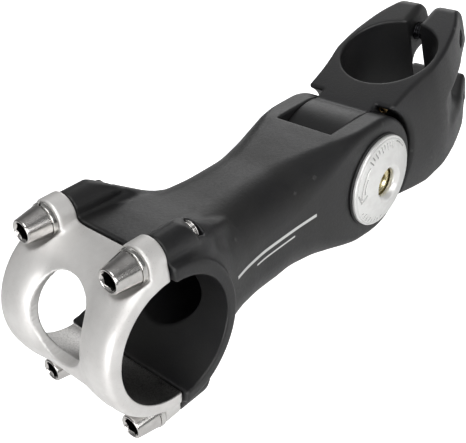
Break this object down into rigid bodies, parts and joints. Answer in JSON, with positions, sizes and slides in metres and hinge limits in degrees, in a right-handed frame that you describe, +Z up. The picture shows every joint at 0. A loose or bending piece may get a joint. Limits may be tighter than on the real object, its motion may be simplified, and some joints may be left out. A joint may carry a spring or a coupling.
{
  "type": "handlebar stem",
  "caption": "Adjustable-angle bicycle handlebar stem: steerer clamp with a pivoting black extension, silver pivot caps and an open silver faceplate bolted over the bar.",
  "frame": {"origin": "centre of the steerer bore, at mid height of the steerer clamp", "axes": "+X forward to the handlebar, +Y to the rider's left, +Z up along the steerer"},
  "size_m": [0.1627, 0.0424, 0.0815],
  "materials": {
    "black_alloy": "satin black powder coat over forged aluminium, fine orange peel",
    "silver_alloy": "satin silver, lightly tumbled",
    "cap_silver": "bright turned aluminium",
    "chrome_steel": "bright plated steel",
    "spring_steel": "bright plated spring steel",
    "zinc_gold": "yellow zinc plated steel",
    "brass": "dull brass",
    "black_steel": "black oxide steel",
    "black_rubber": "matt black",
    "plain_steel": "ground steel"
  },
  "bodies": {
    "steerer_clamp": {"steerer_clamp": "black_alloy", "pivot_sleeve": "plain_steel", "tongue_tooth_ring_left": "plain_steel", "tongue_tooth_ring_right": "plain_steel", "pinch_washer_upper": "black_steel", "pinch_washer_lower": "black_steel"},
    "extension": {"extension_body": "black_alloy", "ear_tooth_ring_left": "plain_steel", "ear_tooth_ring_right": "plain_steel", "pivot_cap_left": "cap_silver", "pivot_cap_right": "cap_silver", "cap_ring_left": "black_rubber", "cap_ring_right": "black_rubber", "pivot_nut": "zinc_gold", "pivot_washer": "plain_steel"},
    "faceplate": {"faceplate": "silver_alloy", "spring_washer_upper_left": "spring_steel", "spring_washer_upper_right": "spring_steel", "spring_washer_lower_left": "spring_steel", "spring_washer_lower_right": "spring_steel"},
    "pivot_bolt": {"pivot_bolt": "zinc_gold"},
    "angle_lock_screw": {"angle_lock_screw": "brass"},
    "pinch_bolt_upper": {"pinch_bolt_upper": "black_steel"},
    "pinch_bolt_lower": {"pinch_bolt_lower": "black_steel"},
    "faceplate_bolt_upper_left": {"faceplate_bolt_upper_left": "chrome_steel"},
    "faceplate_bolt_upper_right": {"faceplate_bolt_upper_right": "chrome_steel"},
    "faceplate_bolt_lower_left": {"faceplate_bolt_lower_left": "chrome_steel"},
    "faceplate_bolt_lower_right": {"faceplate_bolt_lower_right": "chrome_steel"}
  },
  "joints": [
    {"name": "stem_angle", "type": "hinge", "parent": "steerer_clamp", "child": "extension", "pos_m": [0.0355, 0, 0.0052], "axis": [0, -1, 0], "range_deg": [-30.2, 39.8]},
    {"name": "pivot_bolt_turn", "type": "hinge", "parent": "extension", "child": "pivot_bolt", "pos_m": [0.0355, 0, 0.0052], "axis": [0, 1, 0], "continuous": true},
    {"name": "faceplate_slide", "type": "slide", "parent": "extension", "child": "faceplate", "axis": [0.9385, 0, 0.3453], "range_m": [0, 0.03]},
    {"name": "angle_lock_turn", "type": "hinge", "parent": "steerer_clamp", "child": "angle_lock_screw", "pos_m": [0.02075, 0.0103, 0.0172], "axis": [0.9976, 0, 0.0698], "continuous": true},
    {"name": "pinch_upper_turn", "type": "hinge", "parent": "steerer_clamp", "child": "pinch_bolt_upper", "pos_m": [-0.0195, 0, 0.0126], "axis": [0, 1, 0], "continuous": true},
    {"name": "pinch_lower_turn", "type": "hinge", "parent": "steerer_clamp", "child": "pinch_bolt_lower", "pos_m": [-0.0195, 0, -0.0126], "axis": [0, 1, 0], "continuous": true},
    {"name": "plate_bolt_upper_left_turn", "type": "hinge", "parent": "faceplate", "child": "faceplate_bolt_upper_left", "pos_m": [0.10888, 0.0147, 0.05436], "axis": [0.9385, 0, 0.3453], "continuous": true},
    {"name": "plate_bolt_upper_right_turn", "type": "hinge", "parent": "faceplate", "child": "faceplate_bolt_upper_right", "pos_m": [0.10888, -0.0147, 0.05436], "axis": [0.9385, 0, 0.3453], "continuous": true},
    {"name": "plate_bolt_lower_left_turn", "type": "hinge", "parent": "faceplate", "child": "faceplate_bolt_lower_left", "pos_m": [0.12324, 0.0147, 0.01532], "axis": [0.9385, 0, 0.3453], "continuous": true},
    {"name": "plate_bolt_lower_right_turn", "type": "hinge", "parent": "faceplate", "child": "faceplate_bolt_lower_right", "pos_m": [0.12324, -0.0147, 0.01532], "axis": [0.9385, 0, 0.3453], "continuous": true}
  ]
}
